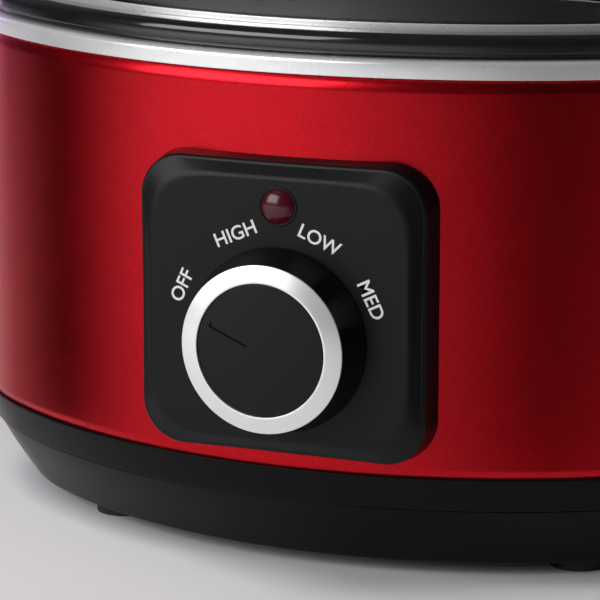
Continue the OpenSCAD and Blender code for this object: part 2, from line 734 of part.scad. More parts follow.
base_tray();
base_ring();
bottom_cover();
cover_screws();
front_left_foot();
front_right_foot();
rear_left_foot();
rear_right_foot();
outer_shell();
rim_ring();
heating_well();
band_heater();
heater_strap();
strap_bolt();
reflector_plate();
cross_bar();
cross_bar_screws();
tie_bolt();
spring_washer();
thermal_cutout();
cutout_clip();
heat_shield();
shield_screws();
terminal_block();
terminal_screws();
cord_gland();
cord_clamp();
clamp_screws();
live_lead();
neutral_lead();
earth_lead();
heater_leads();
lamp_leads();
control_panel();
panel_screws();
panel_strap();
lamp_lens();
lamp_bulb();
lamp_collar();
switch_body();
switch_terminals();
switch_nut();
switch_shaft();
knob_body();
knob_ring();
knob_cap();
left_handle();
right_handle();
handle_plates();
handle_screws();
cooking_pot();
lid_glass();
lid_rim();
lid_knob();
lid_knob_base();
lid_seal();
lid_screw();
steam_grommet();
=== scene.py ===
import math

import bmesh
import bpy
import numpy as np
from mathutils import Matrix, Vector


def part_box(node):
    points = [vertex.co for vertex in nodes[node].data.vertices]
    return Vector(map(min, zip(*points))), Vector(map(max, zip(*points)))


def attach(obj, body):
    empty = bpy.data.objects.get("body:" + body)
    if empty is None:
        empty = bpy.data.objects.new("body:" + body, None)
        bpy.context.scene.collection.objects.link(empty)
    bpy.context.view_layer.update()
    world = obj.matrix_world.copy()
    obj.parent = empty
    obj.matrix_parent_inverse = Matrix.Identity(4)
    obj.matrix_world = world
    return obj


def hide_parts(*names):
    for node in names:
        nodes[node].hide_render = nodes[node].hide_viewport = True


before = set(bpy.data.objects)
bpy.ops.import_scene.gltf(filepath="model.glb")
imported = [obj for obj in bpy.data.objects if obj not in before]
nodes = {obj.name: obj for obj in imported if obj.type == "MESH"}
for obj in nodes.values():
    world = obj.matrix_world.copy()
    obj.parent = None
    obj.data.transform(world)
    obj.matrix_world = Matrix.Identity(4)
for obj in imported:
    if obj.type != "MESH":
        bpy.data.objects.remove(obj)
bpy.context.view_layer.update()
mm = 0.001
print("frame loaded,", len(nodes), "nodes")


# the lowest and the highest corner of a node, as numpy rows
def nodeBox(name):
    low, high = (np.array(corner, float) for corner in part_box(name))
    return low, high


# The oval is four arcs on a 3-4-5 triangle: with a step of half the difference between half length
# and half depth, the end centres are 3 steps out on X and the long centres 4 steps out on Y.
shellLow, shellHigh = nodeBox("outer_shell")
halfLength, halfDepth = shellHigh[0], shellHigh[1]
ovalStep = (halfLength - halfDepth) / 2
endCentre, longCentre = 3 * ovalStep, 4 * ovalStep
endRadius = halfLength - endCentre
longRadius = endRadius + 5 * ovalStep


# a direction steeper than 4:3 is on a long arc and the rest on an end arc; an offset adds to either radius
def ovalPoint(angle, offset):
    dx, dy = np.cos(angle), np.sin(angle)
    onLong = np.abs(dy) * 3 >= np.abs(dx) * 4
    x = np.where(onLong, dx * (longRadius + offset), np.sign(dx) * endCentre + dx * (endRadius + offset))
    y = np.where(onLong, -np.sign(dy) * longCentre + dy * (longRadius + offset), dy * (endRadius + offset))
    return x, y


# depth of the front wall at x: the long arc's centre less the other side of a right triangle on its radius
def frontWall(x, offset=0.0):
    return longCentre - np.sqrt((longRadius + offset) ** 2 - x ** 2)


cornerSet = {"straight": 1.56, "share": 0.48}  # half angle of a straight run, and most of a side an arc may take


# each corner becomes an arc tangent to both its sides, starting radius / tan(half the corner) before it
def roundCorners(points, radii, steps=8):
    points = np.array(points, float)
    radii = np.broadcast_to(radii, len(points))
    out = []
    for i, (p, radius) in enumerate(zip(points, radii)):
        toPrev, toNext = points[i - 1] - p, points[(i + 1) % len(points)] - p
        lenPrev, lenNext = np.linalg.norm(toPrev), np.linalg.norm(toNext)
        toPrev, toNext = toPrev / lenPrev, toNext / lenNext
        half = math.acos(np.clip(toPrev @ toNext, -1, 1)) / 2
        if radius <= 0 or half > cornerSet["straight"]:
            out.append(p[None])
            continue
        reach = min(radius / math.tan(half), cornerSet["share"] * lenPrev, cornerSet["share"] * lenNext)
        radius = reach * math.tan(half)
        middle = p + (toPrev + toNext) / np.linalg.norm(toPrev + toNext) * radius / math.sin(half)
        a, b = p + toPrev * reach - middle, p + toNext * reach - middle
        turn = math.atan2(a[0] * b[1] - a[1] * b[0], a @ b)
        t = np.linspace(0, turn, steps)
        out.append(middle + np.stack([a[0] * np.cos(t) - a[1] * np.sin(t),
                                      a[0] * np.sin(t) + a[1] * np.cos(t)], 1))
    return np.concatenate(out)


# the corners of a rectangle about the origin, anticlockwise from the lower left
def boxCorners(halfWide, halfTall):
    return [(-halfWide, -halfTall), (halfWide, -halfTall), (halfWide, halfTall), (-halfWide, halfTall)]


# points at equal distances along a closed loop, by interpolating on the summed length of its sides
def evenLoop(points, count):
    closed = np.vstack([points, points[:1]])
    along = np.concatenate([[0], np.cumsum(np.linalg.norm(np.diff(closed, axis=0), axis=1))])
    at = np.linspace(0, along[-1], count, endpoint=False)
    return np.stack([np.interp(at, along, closed[:, k]) for k in range(closed.shape[1])], 1)


# face i,j joins grid points (i,j), (i,j+1), (i+1,j+1) and (i+1,j); a closed direction wraps to its first row
def gridFaces(rows, columns, closeRows, closeColumns):
    i = np.arange(rows if closeRows else rows - 1)[:, None]
    j = np.arange(columns if closeColumns else columns - 1)[None, :]
    nextI, nextJ = (i + 1) % rows, (j + 1) % columns
    return np.stack([i * columns + j, i * columns + nextJ, nextI * columns + nextJ, nextI * columns + j], -1)


meshSet = {"merge": 2e-6, "degenerate": 1e-7}  # metres


# one mesh from one or more (points, faces) parts: seams and poles merged, then normals turned outward
def makePiece(name, parts, smoothAngle=35, outward=True):
    verts, faces, start = [], [], 0
    for points, quads in parts:
        points = np.asarray(points, float).reshape(-1, 3)
        verts.append(points)
        faces.append(np.asarray(quads).reshape(-1, 4) + start)
        start += len(points)
    verts, faces = np.concatenate(verts), np.concatenate(faces)
    mesh = bpy.data.meshes.new(name)
    mesh.from_pydata(verts.tolist(), [], faces.tolist())
    work = bmesh.new()
    work.from_mesh(mesh)
    bmesh.ops.remove_doubles(work, verts=work.verts, dist=meshSet["merge"])
    bmesh.ops.dissolve_degenerate(work, edges=work.edges, dist=meshSet["degenerate"])
    if outward:
        bmesh.ops.recalc_face_normals(work, faces=work.faces)
    work.to_mesh(mesh)
    work.free()
    mesh.polygons.foreach_set("use_smooth", np.ones(len(mesh.polygons), bool))
    mesh.set_sharp_from_angle(angle=math.radians(smoothAngle))
    piece = bpy.data.objects.new(name, mesh)
    bpy.context.scene.collection.objects.link(piece)
    return piece


# rows of (offset, height, scale): each is the oval at that offset, drawn towards the middle by the scale
def ovalPart(rows, columns=400, closeRows=True):
    angle = np.linspace(-np.pi, np.pi, columns, endpoint=False)
    rows = np.array([tuple(row) + (1.0,) * (3 - len(row)) for row in rows], float)
    x, y = ovalPoint(angle[None, :], rows[:, :1])
    grid = np.stack([x * rows[:, 2:], y * rows[:, 2:], np.broadcast_to(rows[:, 1:2], x.shape)], -1)
    return grid, gridFaces(len(rows), columns, closeRows, True)


# a profile of (radius, travel) turned round an axis through centre; travel runs along the axis from it
def turnedPart(profile, centre, axis, closeRows=True, columns=256):
    axis = Vector(axis).normalized()
    side = axis.orthogonal().normalized()
    across = axis.cross(side)
    t = np.linspace(0, 2 * np.pi, columns, endpoint=False)
    ring = np.outer(np.cos(t), side) + np.outer(np.sin(t), across)
    profile = np.array(profile, float)
    along = profile[:, 1:, None] * np.array(axis)[None, None]
    grid = np.array(centre) + profile[:, :1, None] * ring[None] + along
    return grid, gridFaces(len(profile), columns, closeRows, True)


# An outline in two directions made a slab. The edge follows a quarter circle at top and bottom: it is drawn in by
# the edge radius x (1 - sin t) at a height of the radius x (1 - cos t), as a share of the outline's reach.
def slabPart(outline, thickness, edge, place, count=160):
    outline = evenLoop(outline, count)
    middle = outline.mean(0)
    t = np.linspace(0, np.pi / 2, 6)  # five facets to a quarter circle
    inset = edge * (1 - np.sin(t))
    height = edge * (1 - np.cos(t))
    reach = np.linalg.norm(outline - middle, axis=1).max()
    rows = [(1.0, 0.0)] + [(i / reach, h) for i, h in zip(inset, height)]
    rows += [(i / reach, thickness - h) for i, h in zip(inset[::-1], height[::-1])] + [(1.0, thickness)]
    shrink = np.array([1 - r[0] for r in rows])[:, None, None]
    flat = middle + (outline - middle)[None] * shrink
    lift = np.broadcast_to(np.array([r[1] for r in rows])[:, None], flat.shape[:2])
    return place(flat[..., 0], flat[..., 1], lift), gridFaces(len(rows), count, False, True)


# gives a piece its material, its body, the nodes it stands in for and its slot
def finishPiece(piece, body, slotName, *replaced):
    piece.data.materials.append(materials[slotName])
    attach(piece, body)
    if replaced:
        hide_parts(*replaced)
    return piece


# Every material is one principled shader. Colour = base x (1 + spread x (noise - half)); roughness gains a
# slow smudge noise; a fine noise raises the bump; flakes are the random value of small cells, times the base.
def makeMaterial(name, look):
    material = bpy.data.materials.new("look_" + name)
    material.use_nodes = True
    tree = material.node_tree
    shader = next(n for n in tree.nodes if n.type == "BSDF_PRINCIPLED")
    place = tree.nodes.new("ShaderNodeTexCoord").outputs["Object"]

    # noise with features of the given size: its scale is 1 / size, drawn out along an axis by a small stretch
    def noise(sizeMm, detail=3.0, stretch=None):
        source = place
        if stretch:
            mapping = tree.nodes.new("ShaderNodeMapping")
            mapping.inputs["Scale"].default_value = stretch
            tree.links.new(source, mapping.inputs["Vector"])
            source = mapping.outputs["Vector"]
        node = tree.nodes.new("ShaderNodeTexNoise")
        node.inputs["Scale"].default_value = 1 / (sizeMm * mm)
        node.inputs["Detail"].default_value = detail
        tree.links.new(source, node.inputs["Vector"])
        return node.outputs["Fac"]

    # low + (high - low) x (value - a quarter) x 2, since noise stays mostly between a quarter and three quarters
    def spread(source, low, high):
        node = tree.nodes.new("ShaderNodeMapRange")
        node.inputs["From Min"].default_value, node.inputs["From Max"].default_value = 0.25, 0.75
        node.inputs["To Min"].default_value, node.inputs["To Max"].default_value = low, high
        tree.links.new(source, node.inputs["Value"])
        return node.outputs["Result"]

    colour = look["colour"]
    shade = spread(noise(look.get("toneMm", 9.0)), 1 - look.get("tone", 0.04), 1 + look.get("tone", 0.04))
    if "flakeMm" in look:
        cells = tree.nodes.new("ShaderNodeTexVoronoi")
        cells.inputs["Scale"].default_value = 1 / (look["flakeMm"] * mm)
        tree.links.new(place, cells.inputs["Vector"])
        split = tree.nodes.new("ShaderNodeSeparateColor")
        tree.links.new(cells.outputs["Color"], split.inputs["Color"])
        glint = spread(split.outputs["Red"], 1 - look["flake"], 1 + look["flake"])
        times = tree.nodes.new("ShaderNodeMath")
        times.operation = "MULTIPLY"
        tree.links.new(shade, times.inputs[0])
        tree.links.new(glint, times.inputs[1])
        shade = times.outputs[0]
    scale = tree.nodes.new("ShaderNodeVectorMath")
    scale.operation = "SCALE"
    scale.inputs[0].default_value = colour
    tree.links.new(shade, scale.inputs["Scale"])
    tree.links.new(scale.outputs["Vector"], shader.inputs["Base Color"])
    rough, smudge = look["roughness"], look.get("smudge", 0.03)
    tree.links.new(spread(noise(look.get("smudgeMm", 14.0)), rough - smudge, rough + smudge),
                   shader.inputs["Roughness"])
    bump = tree.nodes.new("ShaderNodeBump")
    bump.inputs["Strength"].default_value = look.get("bump", 0.1)
    bump.inputs["Distance"].default_value = look.get("bumpMm", 0.05) * mm
    tree.links.new(noise(look.get("grainMm", 0.6), 2.0, look.get("stretch")), bump.inputs["Height"])
    tree.links.new(bump.outputs["Normal"], shader.inputs["Normal"])
    for socket, key in (("Metallic", "metallic"), ("Coat Weight", "coat"), ("Coat Roughness", "coatRoughness"),
                        ("IOR", "ior"), ("Transmission Weight", "clear"), ("Specular IOR Level", "specular"),
                        ("Anisotropic", "anisotropic"), ("Subsurface Weight", "soft")):
        if key in look:
            shader.inputs[socket].default_value = look[key]
    # painted light: a faint emission stands in for the red crescent of light caught in a lens dome, not for a lit
    # lamp
    if "paintedGlow" in look:
        shader.inputs["Emission Color"].default_value = (*look["paintedGlow"], 1)
        shader.inputs["Emission Strength"].default_value = look["paintedGlowPower"]
    return material


looks = {
    "red_metallic": {"colour": (0.56, 0.006, 0.014), "metallic": 0.94, "roughness": 0.27, "smudge": 0.02,
                     "coat": 0.08, "coatRoughness": 0.06, "flakeMm": 0.22, "flake": 0.16, "grainMm": 3.0,
                     "bump": 0.05, "bumpMm": 0.04},
    "polished_rim": {"colour": (0.90, 0.90, 0.91), "metallic": 0.6, "roughness": 0.28, "smudge": 0.03,
                     "grainMm": 0.4, "stretch": (0.06, 0.06, 1.0), "bump": 0.06, "bumpMm": 0.02, "tone": 0.02},
    "black_base": {"specular": 0.10, "colour": (0.0045, 0.0045, 0.005), "roughness": 0.3,
                   "smudge": 0.03, "grainMm": 0.5, "bump": 0.1},
    "nylon_black": {"colour": (0.016, 0.016, 0.016), "roughness": 0.45, "grainMm": 0.4, "bump": 0.2},
    "black_panel": {"specular": 0.22, "colour": (0.0045, 0.0045, 0.005), "roughness": 0.38,
                    "smudge": 0.03, "grainMm": 0.32, "bump": 0.14},
    "black_knob": {"specular": 0.16, "colour": (0.0045, 0.0045, 0.005), "roughness": 0.33,
                   "smudge": 0.04, "grainMm": 0.35, "bump": 0.1},
    "black_knob_cap": {"specular": 0.24, "colour": (0.0045, 0.0045, 0.005), "roughness": 0.36,
                       "smudge": 0.03, "grainMm": 0.3, "bump": 0.12},
    "black_handle": {"colour": (0.011, 0.011, 0.012), "roughness": 0.38, "grainMm": 0.45, "bump": 0.2},
    "black_glaze": {"colour": (0.010, 0.010, 0.011), "roughness": 0.14, "smudge": 0.05, "coat": 0.6,
                    "coatRoughness": 0.05, "grainMm": 5.0, "bump": 0.12, "bumpMm": 0.12},
    "satin_chrome": {"colour": (0.92, 0.92, 0.93), "metallic": 0.72, "roughness": 0.32, "smudge": 0.03,
                     "grainMm": 0.3, "bump": 0.05, "bumpMm": 0.02, "tone": 0.02},
    # the lens's faint red emission is painted light, the crescent of light caught in its dome
    "red_lens": {"colour": (0.05, 0.002, 0.008), "roughness": 0.2, "smudge": 0.02, "clear": 0.12, "ior": 1.49,
                 "coat": 0.06, "coatRoughness": 0.12, "paintedGlow": (0.5, 0.01, 0.03), "paintedGlowPower": 0.032,
                 "grainMm": 1.5, "bump": 0.05},
    "bulb_glass": {"colour": (0.9, 0.6, 0.5), "roughness": 0.1, "clear": 0.7, "ior": 1.5, "grainMm": 1.0,
                   "bump": 0.05},
    "lid_glass": {"colour": (0.96, 0.985, 0.975), "roughness": 0.035, "smudge": 0.015, "clear": 1.0,
                  "ior": 1.47, "grainMm": 20.0, "bump": 0.05, "bumpMm": 0.1, "tone": 0.01},
    "foot_rubber": {"colour": (0.014, 0.014, 0.014), "roughness": 0.7, "grainMm": 0.5, "bump": 0.3},
    "seal_silicone": {"colour": (0.55, 0.56, 0.56), "roughness": 0.55, "grainMm": 0.6, "bump": 0.2,
                      "soft": 0.1},
    "zinc_steel": {"colour": (0.62, 0.62, 0.60), "metallic": 1.0, "roughness": 0.34, "smudge": 0.08,
                   "grainMm": 0.7, "bump": 0.2, "tone": 0.1, "toneMm": 3.0},
    "well_aluminium": {"colour": (0.72, 0.72, 0.73), "metallic": 1.0, "roughness": 0.38, "smudge": 0.06,
                       "grainMm": 0.5, "stretch": (0.08, 0.08, 1.0), "bump": 0.15, "tone": 0.05},
    "mica_heater": {"colour": (0.38, 0.33, 0.24), "roughness": 0.6, "tone": 0.3, "toneMm": 2.0, "grainMm": 1.0,
                    "bump": 0.3},
    "switch_resin": {"colour": (0.05, 0.03, 0.02), "roughness": 0.4, "grainMm": 0.5, "bump": 0.2},
    "cream_resin": {"colour": (0.66, 0.60, 0.46), "roughness": 0.5, "grainMm": 0.6, "bump": 0.2},
    "brass_contact": {"colour": (0.72, 0.50, 0.20), "metallic": 1.0, "roughness": 0.3, "grainMm": 0.4,
                      "bump": 0.1},
    "lead_brown": {"colour": (0.16, 0.06, 0.025), "roughness": 0.5, "grainMm": 0.6, "bump": 0.1},
    "lead_blue": {"colour": (0.02, 0.08, 0.42), "roughness": 0.5, "grainMm": 0.6, "bump": 0.1},
    "lead_green": {"colour": (0.06, 0.30, 0.05), "roughness": 0.5, "grainMm": 0.6, "bump": 0.1},
    "lead_white": {"colour": (0.72, 0.70, 0.66), "roughness": 0.5, "grainMm": 0.6, "bump": 0.1},
}
materials = {name: makeMaterial(name, look) for name, look in looks.items()}
printWhite = makeMaterial("print_white", {"colour": (0.80, 0.80, 0.80), "roughness": 0.45, "grainMm": 0.25,
                                          "bump": 0.1})
for node in nodes.values():
    for slot in node.material_slots:
        slotName = slot.material.name.split(".")[0]
        if slotName in materials:
            slot.material = materials[slotName]
        else:
            print("no look for slot", slotName, "on", node.name)
print("materials done,", len(materials))

# painted wall: a strip at offset 0 with a window behind the panel, given its thickness inwards
windowLow, windowHigh = nodeBox("control_panel")
shellSet = {"wall": 1.0 * mm, "columns": 480, "rows": 24, "windowInset": 14 * mm}
windowHalf = (windowHigh[0] - windowLow[0]) / 2 - shellSet["windowInset"]
windowAngles = -np.pi / 2 + np.arcsin(np.array([-windowHalf, windowHalf]) / longRadius)
shellAngles = np.sort(np.append(np.linspace(-np.pi, np.pi, shellSet["columns"], endpoint=False), windowAngles))
windowZ = (windowLow[2] + shellSet["windowInset"] / 2, windowHigh[2] - shellSet["windowInset"] / 2)
shellZ = np.sort(np.append(np.linspace(shellLow[2], shellHigh[2], shellSet["rows"]), windowZ))
shellX, shellY = ovalPoint(shellAngles[None, :], np.zeros((len(shellZ), 1)))
shellGrid = np.stack([shellX, shellY, np.broadcast_to(shellZ[:, None], shellX.shape)], -1)
shellFaces = gridFaces(len(shellZ), len(shellAngles), False, True)
middleAngle = shellAngles + np.diff(np.append(shellAngles, shellAngles[0] + 2 * np.pi)) / 2
middleZ = (shellZ[:-1] + shellZ[1:]) / 2
inWindow = ((middleAngle > windowAngles[0]) & (middleAngle < windowAngles[1]))[None, :] & (
    (middleZ > windowZ[0]) & (middleZ < windowZ[1]))[:, None]
paintedWall = makePiece("painted_wall", [(shellGrid, shellFaces[~inWindow])], outward=False)
wallModifier = paintedWall.modifiers.new("thickness", "SOLIDIFY")
wallModifier.thickness, wallModifier.offset = shellSet["wall"], -1
finishPiece(paintedWall, "base", "red_metallic", "outer_shell")

# polished band over the top of the wall, rolled inwards at the top
rimLow, rimHigh = nodeBox("rim_ring")
rimSet = {"proud": rimHigh[0] - halfLength, "roll": 1.7 * mm, "reach": 9 * mm, "sheet": 0.8 * mm,
          "cutEdge": 0.25 * mm, "innerEdge": 0.3 * mm}
rimTop, rimBottom = rimHigh[2], rimLow[2]
rimProfile = roundCorners([
    (rimSet["proud"], rimBottom), (rimSet["proud"], rimTop), (-rimSet["reach"], rimTop),
    (-rimSet["reach"], rimTop - rimSet["sheet"]), (rimSet["proud"] - rimSet["sheet"], rimTop - rimSet["sheet"]),
    (rimSet["proud"] - rimSet["sheet"], rimBottom)],
    [rimSet["cutEdge"], rimSet["roll"], rimSet["innerEdge"], rimSet["innerEdge"], rimSet["sheet"],
     rimSet["cutEdge"]], 10)
finishPiece(makePiece("polished_band", [ovalPart(rimProfile)]), "base", "polished_rim", "rim_ring")
print("housing done")

# moulded base: an upper ring under the wall and a tapering tray under the seam
ringLow, ringHigh = nodeBox("base_ring")
trayLow, trayHigh = nodeBox("base_tray")
baseSet = {"ringTop": ringHigh[0] - halfLength, "ringFoot": -2.2 * mm, "lip": 0.6 * mm, "thick": 2.6 * mm,
           "trayTop": trayHigh[0] - halfLength, "trayFoot": -16.8 * mm, "opening": -55 * mm, "bulge": 0.5 * mm,
           "seat": 0.12 * mm, "rest": 0.1 * mm, "inner": -5 * mm, "trayInner": -5.4 * mm, "wallRows": 14}
ringProfile = roundCorners([
    (baseSet["ringFoot"], ringLow[2]), (baseSet["ringTop"], ringHigh[2] - baseSet["lip"]),
    (baseSet["ringTop"], ringHigh[2]), (baseSet["seat"], ringHigh[2]),
    (baseSet["seat"], shellLow[2] - baseSet["rest"]), (baseSet["inner"], shellLow[2] - baseSet["rest"]),
    (baseSet["inner"], ringLow[2])],
    [0.45 * mm, 0.3 * mm, 0.2 * mm, 0, 0.2 * mm, 0.3 * mm, 0.3 * mm], 6)
finishPiece(makePiece("base_collar", [ovalPart(ringProfile)]), "base", "black_base", "base_ring")
t = np.linspace(0, 1, baseSet["wallRows"])
seamZ, footZ = ringLow[2] - baseSet["rest"], trayLow[2]
wallOffset = (baseSet["trayTop"] + (baseSet["trayFoot"] - baseSet["trayTop"]) * t
              + baseSet["bulge"] * np.sin(np.pi * t))
wallCurve = np.stack([wallOffset, seamZ + (footZ - seamZ) * t], 1)
trayProfile = roundCorners(np.vstack([
    wallCurve, [(baseSet["opening"], footZ), (baseSet["opening"], footZ + baseSet["thick"]),
                (baseSet["trayFoot"] - baseSet["thick"], footZ + baseSet["thick"]),
                (baseSet["trayInner"] - baseSet["thick"], seamZ)]]),
    [0.5 * mm] + [0] * (baseSet["wallRows"] - 2) + [1.6 * mm, 0.5 * mm, 0.5 * mm, 2 * mm, 0.3 * mm], 8)
finishPiece(makePiece("base_bowl", [ovalPart(trayProfile)]), "base", "black_base", "base_tray")
print("base done")

# Control panel. Columns run round the outline. Rows go up the back, out to the edge, forward along the drafted
# side, over the shoulder, up the soft border to a squircle (r = ((cos/a)^n + (sin/b)^n)^(-1/n)) and in to the bore.
panelLow, panelHigh = windowLow, windowHigh
knobLow, knobHigh = nodeBox("knob_body")
panelMid, knobMid = (panelLow + panelHigh) / 2, (knobLow + knobHigh) / 2
panelSet = {"corner": 15 * mm, "draft": 1.0 * mm, "shoulder": 1.3 * mm, "borderStep": 2.8 * mm, "columns": 480,
            "innerWidth": 89 * mm, "innerHeight": 86 * mm, "power": 5.4, "bore": 5 * mm, "softness": 0.4,
            "wallGap": 0.15 * mm, "backRows": 9, "sideRows": 10, "shoulderRows": 8, "borderRows": 22, "faceRows": 16}
panelFront = panelLow[1]
halfWide, halfHigh = (panelHigh[0] - panelLow[0]) / 2, (panelHigh[2] - panelLow[2]) / 2
panelX, panelZ = panelMid[0], panelMid[2]
outline = evenLoop(roundCorners(boxCorners(halfWide, halfHigh), panelSet["corner"], 24), panelSet["columns"])
direction = np.arctan2(outline[:, 1], outline[:, 0])
innerHalfWide, innerHalfHigh, power = panelSet["innerWidth"] / 2, panelSet["innerHeight"] / 2, panelSet["power"]
squircle = ((np.abs(np.cos(direction)) / innerHalfWide) ** power
            + (np.abs(np.sin(direction)) / innerHalfHigh) ** power) ** (-1 / power)
inner = np.stack([np.cos(direction) * squircle, np.sin(direction) * squircle], 1)
boreAngle = np.arctan2(outline[:, 1] + panelZ - knobMid[2], outline[:, 0])
bore = np.stack([np.cos(boreAngle), np.sin(boreAngle)], 1) * panelSet["bore"] + [0, knobMid[2] - panelZ]
unit = outline / np.linalg.norm(outline, axis=1)[:, None]
frontEdge = outline - unit * panelSet["draft"]


# a row of the panel: its flat shape, and its depth, which may differ from point to point
def panelRow(flat, depth):
    x, z = flat[:, 0] + panelX, flat[:, 1] + panelZ
    return np.stack([x, np.broadcast_to(depth, x.shape), z], 1)


borderFoot = panelFront + panelSet["borderStep"]
panelRows = []
for s in np.linspace(0, 1, panelSet["backRows"]):
    flat = bore + (outline - bore) * s
    panelRows.append(panelRow(flat, frontWall(flat[:, 0] + panelX, panelSet["wallGap"])))
for s in np.linspace(0, 1, panelSet["sideRows"])[1:]:
    flat = outline + (frontEdge - outline) * s
    back = frontWall(flat[:, 0] + panelX, panelSet["wallGap"])
    panelRows.append(panelRow(flat, back + (borderFoot + panelSet["shoulder"] - back) * s))
for a in np.linspace(0, np.pi / 2, panelSet["shoulderRows"])[1:]:
    flat = frontEdge - unit * panelSet["shoulder"] * (1 - np.cos(a))
    panelRows.append(panelRow(flat, borderFoot + panelSet["shoulder"] * (1 - np.sin(a))))
borderEdge = frontEdge - unit * panelSet["shoulder"]
soft = panelSet["softness"]  # the share of the border that eases into the level face, as a parabola
for s in np.linspace(0, 1, panelSet["borderRows"])[1:]:
    rise = s / (1 - soft / 2) if s < 1 - soft else 1 - (1 - s) ** 2 / (soft * (2 - soft))
    panelRows.append(panelRow(borderEdge + (inner - borderEdge) * s, borderFoot - panelSet["borderStep"] * rise))
for s in np.linspace(0, 1, panelSet["faceRows"])[1:]:
    panelRows.append(panelRow(inner + (bore - inner) * s, panelFront))
panelGrid = np.array(panelRows)
lensLow, lensHigh = nodeBox("lamp_lens")
lensMid = (lensLow + lensHigh) / 2
lensSet = {"radius": 5.7 * mm, "lip": 0.35 * mm, "lipWidth": 0.7 * mm, "gap": 0.25 * mm, "lipDraft": 0.2 * mm,
           "lipRoot": 1 * mm, "flange": 1.5 * mm, "deep": 13 * mm, "flangeThick": 1 * mm, "power": 1.15}
lipIn = lensSet["radius"] + lensSet["gap"]
lipOut = lensSet["radius"] + lensSet["gap"] + lensSet["lipWidth"]
lipProfile = roundCorners([
    (lipIn, lensSet["lipRoot"]), (lipIn, -lensSet["lip"]), (lipOut, -lensSet["lip"]),
    (lipOut + lensSet["lipDraft"], lensSet["lipRoot"])], [0, 0.15 * mm, 0.3 * mm, 0], 6)
lampCentre = (lensMid[0], panelFront, lensMid[2])
panelPiece = makePiece("control_face", [
    (panelGrid, gridFaces(len(panelGrid), panelSet["columns"], True, True)),
    turnedPart(lipProfile, lampCentre, (0, 1, 0), columns=128)], smoothAngle=40)
finishPiece(panelPiece, "base", "black_panel", "control_panel")

# lens: a flange, a barrel and a dome, at angle a the radius x cos a out and its rise x a power of sin a high
domeRise = panelFront - lensLow[1]
lensFlange, lensBarrel = lensSet["radius"] + lensSet["flange"], lensSet["deep"] - lensSet["flangeThick"]
a = np.linspace(0, np.pi / 2, 20)
lensProfile = np.vstack([
    [(0, lensSet["deep"]), (lensFlange, lensSet["deep"]), (lensFlange, lensBarrel),
     (lensSet["radius"], lensBarrel)],
    np.stack([lensSet["radius"] * np.cos(a), -domeRise * np.sin(a) ** lensSet["power"]], 1)])
finishPiece(makePiece("lamp_dome", [turnedPart(lensProfile, lampCentre, (0, 1, 0), closeRows=False, columns=128)]),
            "base", "red_lens", "lamp_lens")
print("panel done")

# words round the dial: each is a text made a mesh, brought to one capital height and stood on the face
wordSet = {"capital": 4.75 * mm, "radius": 37.6 * mm, "thick": 0.04 * mm, "weight": 0.012, "extrude": 0.004,
           "words": {"OFF": (155.5, 0), "HIGH": (113.5, 0), "LOW": (67, 0), "MED": (26.5, -1.3 * mm)}}
for word, (degrees, nearer) in wordSet["words"].items():
    curve = bpy.data.curves.new("dial_" + word.lower(), "FONT")
    curve.body, curve.offset, curve.align_x, curve.align_y = word, wordSet["weight"], "CENTER", "CENTER"
    curve.extrude = wordSet["extrude"]
    textObject = bpy.data.objects.new("dialText", curve)
    bpy.context.scene.collection.objects.link(textObject)
    bpy.context.view_layer.update()
    mesh = bpy.data.meshes.new_from_object(textObject.evaluated_get(bpy.context.evaluated_depsgraph_get()))
    bpy.data.objects.remove(textObject)
    flat = np.empty(len(mesh.vertices) * 3)
    mesh.vertices.foreach_get("co", flat)
    flat = flat.reshape(-1, 3)
    low, high = flat.min(0), flat.max(0)
    letters = (flat[:, :2] - (low + high)[:2] / 2) * wordSet["capital"] / (high[1] - low[1])
    bearing, turn = math.radians(degrees), math.radians(degrees - 90)
    outward = np.array([math.cos(bearing), math.sin(bearing)]) * (wordSet["radius"] + nearer)
    x = letters[:, 0] * math.cos(turn) - letters[:, 1] * math.sin(turn) + outward[0] + knobMid[0]
    z = letters[:, 0] * math.sin(turn) + letters[:, 1] * math.cos(turn) + outward[1] + knobMid[2]
    y = np.where(flat[:, 2] > 0, panelFront - wordSet["thick"], panelFront + wordSet["thick"])
    mesh.vertices.foreach_set("co", np.stack([x, y, z], 1).ravel())
    mesh.update()
    wordPiece = bpy.data.objects.new("dial_" + word.lower(), mesh)
    bpy.context.scene.collection.objects.link(wordPiece)
    mesh.materials.clear()
    mesh.materials.append(printWhite)
    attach(wordPiece, "base")
print("words done")

# knob: a skirt flaring as the square of the distance from its front, a bevelled bright ring and a cap
capLow, capHigh = nodeBox("knob_cap")
chromeLow, chromeHigh = nodeBox("knob_ring")
capMid, chromeMid = (capLow + capHigh) / 2, (chromeLow + chromeHigh) / 2
knobSet = {"flare": 3 * mm, "wall": 1.7 * mm, "ringLip": 0.7 * mm, "ringEdge": 0.35 * mm, "columns": 320,
           "hub": 6.2 * mm, "hubDraft": 0.2 * mm, "hubStop": 3 * mm, "top": 2.5 * mm, "lipRadius": 22.2 * mm,
           "edge": 0.3 * mm, "ringGap": 0.05 * mm}
knobRadius = chromeHigh[0] - chromeMid[0]
knobBack, knobFront = knobHigh[1], knobLow[1]
knobDeep = knobBack - knobFront
knobCentre = (knobMid[0], knobFront, knobMid[2])
h = np.linspace(1, 0, 24)
skirt = np.stack([knobRadius + knobSet["flare"] * h ** 2, knobDeep * h], 1)
knobProfile = np.vstack([
    [(0, knobDeep - knobSet["hubStop"]), (knobSet["hub"], knobDeep - knobSet["hubStop"]),
     (knobSet["hub"] + knobSet["hubDraft"], knobSet["top"]), (knobRadius - knobSet["wall"], knobSet["top"]),
     (knobRadius + knobSet["flare"] - knobSet["wall"], knobDeep)],
    skirt[:-1], [(knobRadius - 0.02 * mm, knobSet["edge"]), (knobRadius - knobSet["edge"], 0), (0, 0)]])
finishPiece(makePiece("knob_skirt", [turnedPart(knobProfile, knobCentre, (0, 1, 0), closeRows=False,
                                                columns=knobSet["columns"])]), "knob", "black_knob", "knob_body")
